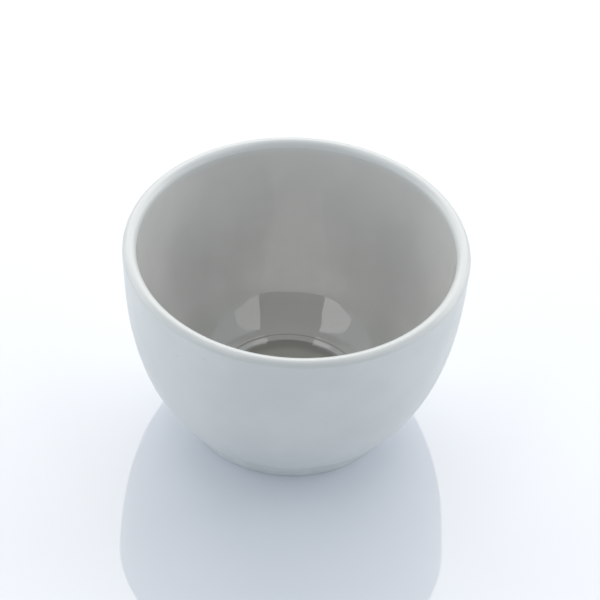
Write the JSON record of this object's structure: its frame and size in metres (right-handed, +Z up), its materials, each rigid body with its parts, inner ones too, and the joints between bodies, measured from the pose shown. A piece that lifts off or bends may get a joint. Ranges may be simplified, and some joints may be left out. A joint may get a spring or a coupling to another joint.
{
  "type": "porcelain crucible",
  "caption": "Open low-form porcelain crucible with a rounded rim, a deep curved wall and a small recessed foot; matt outside, gloss inside.",
  "frame": {"origin": "centre of the foot, on the surface that the crucible stands on", "axes": "+Z up along the axis that the crucible is turned about; it is the same all the way round, so +X and +Y are free"},
  "size_m": [0.05, 0.05, 0.0314],
  "materials": {
    "bare_porcelain": "matte",
    "matt_glaze": "satin",
    "gloss_glaze": "gloss"
  },
  "bodies": {
    "root": {"porcelain_body": "bare_porcelain", "outer_glaze": "matt_glaze", "inner_glaze": "gloss_glaze"}
  },
  "joints": []
}
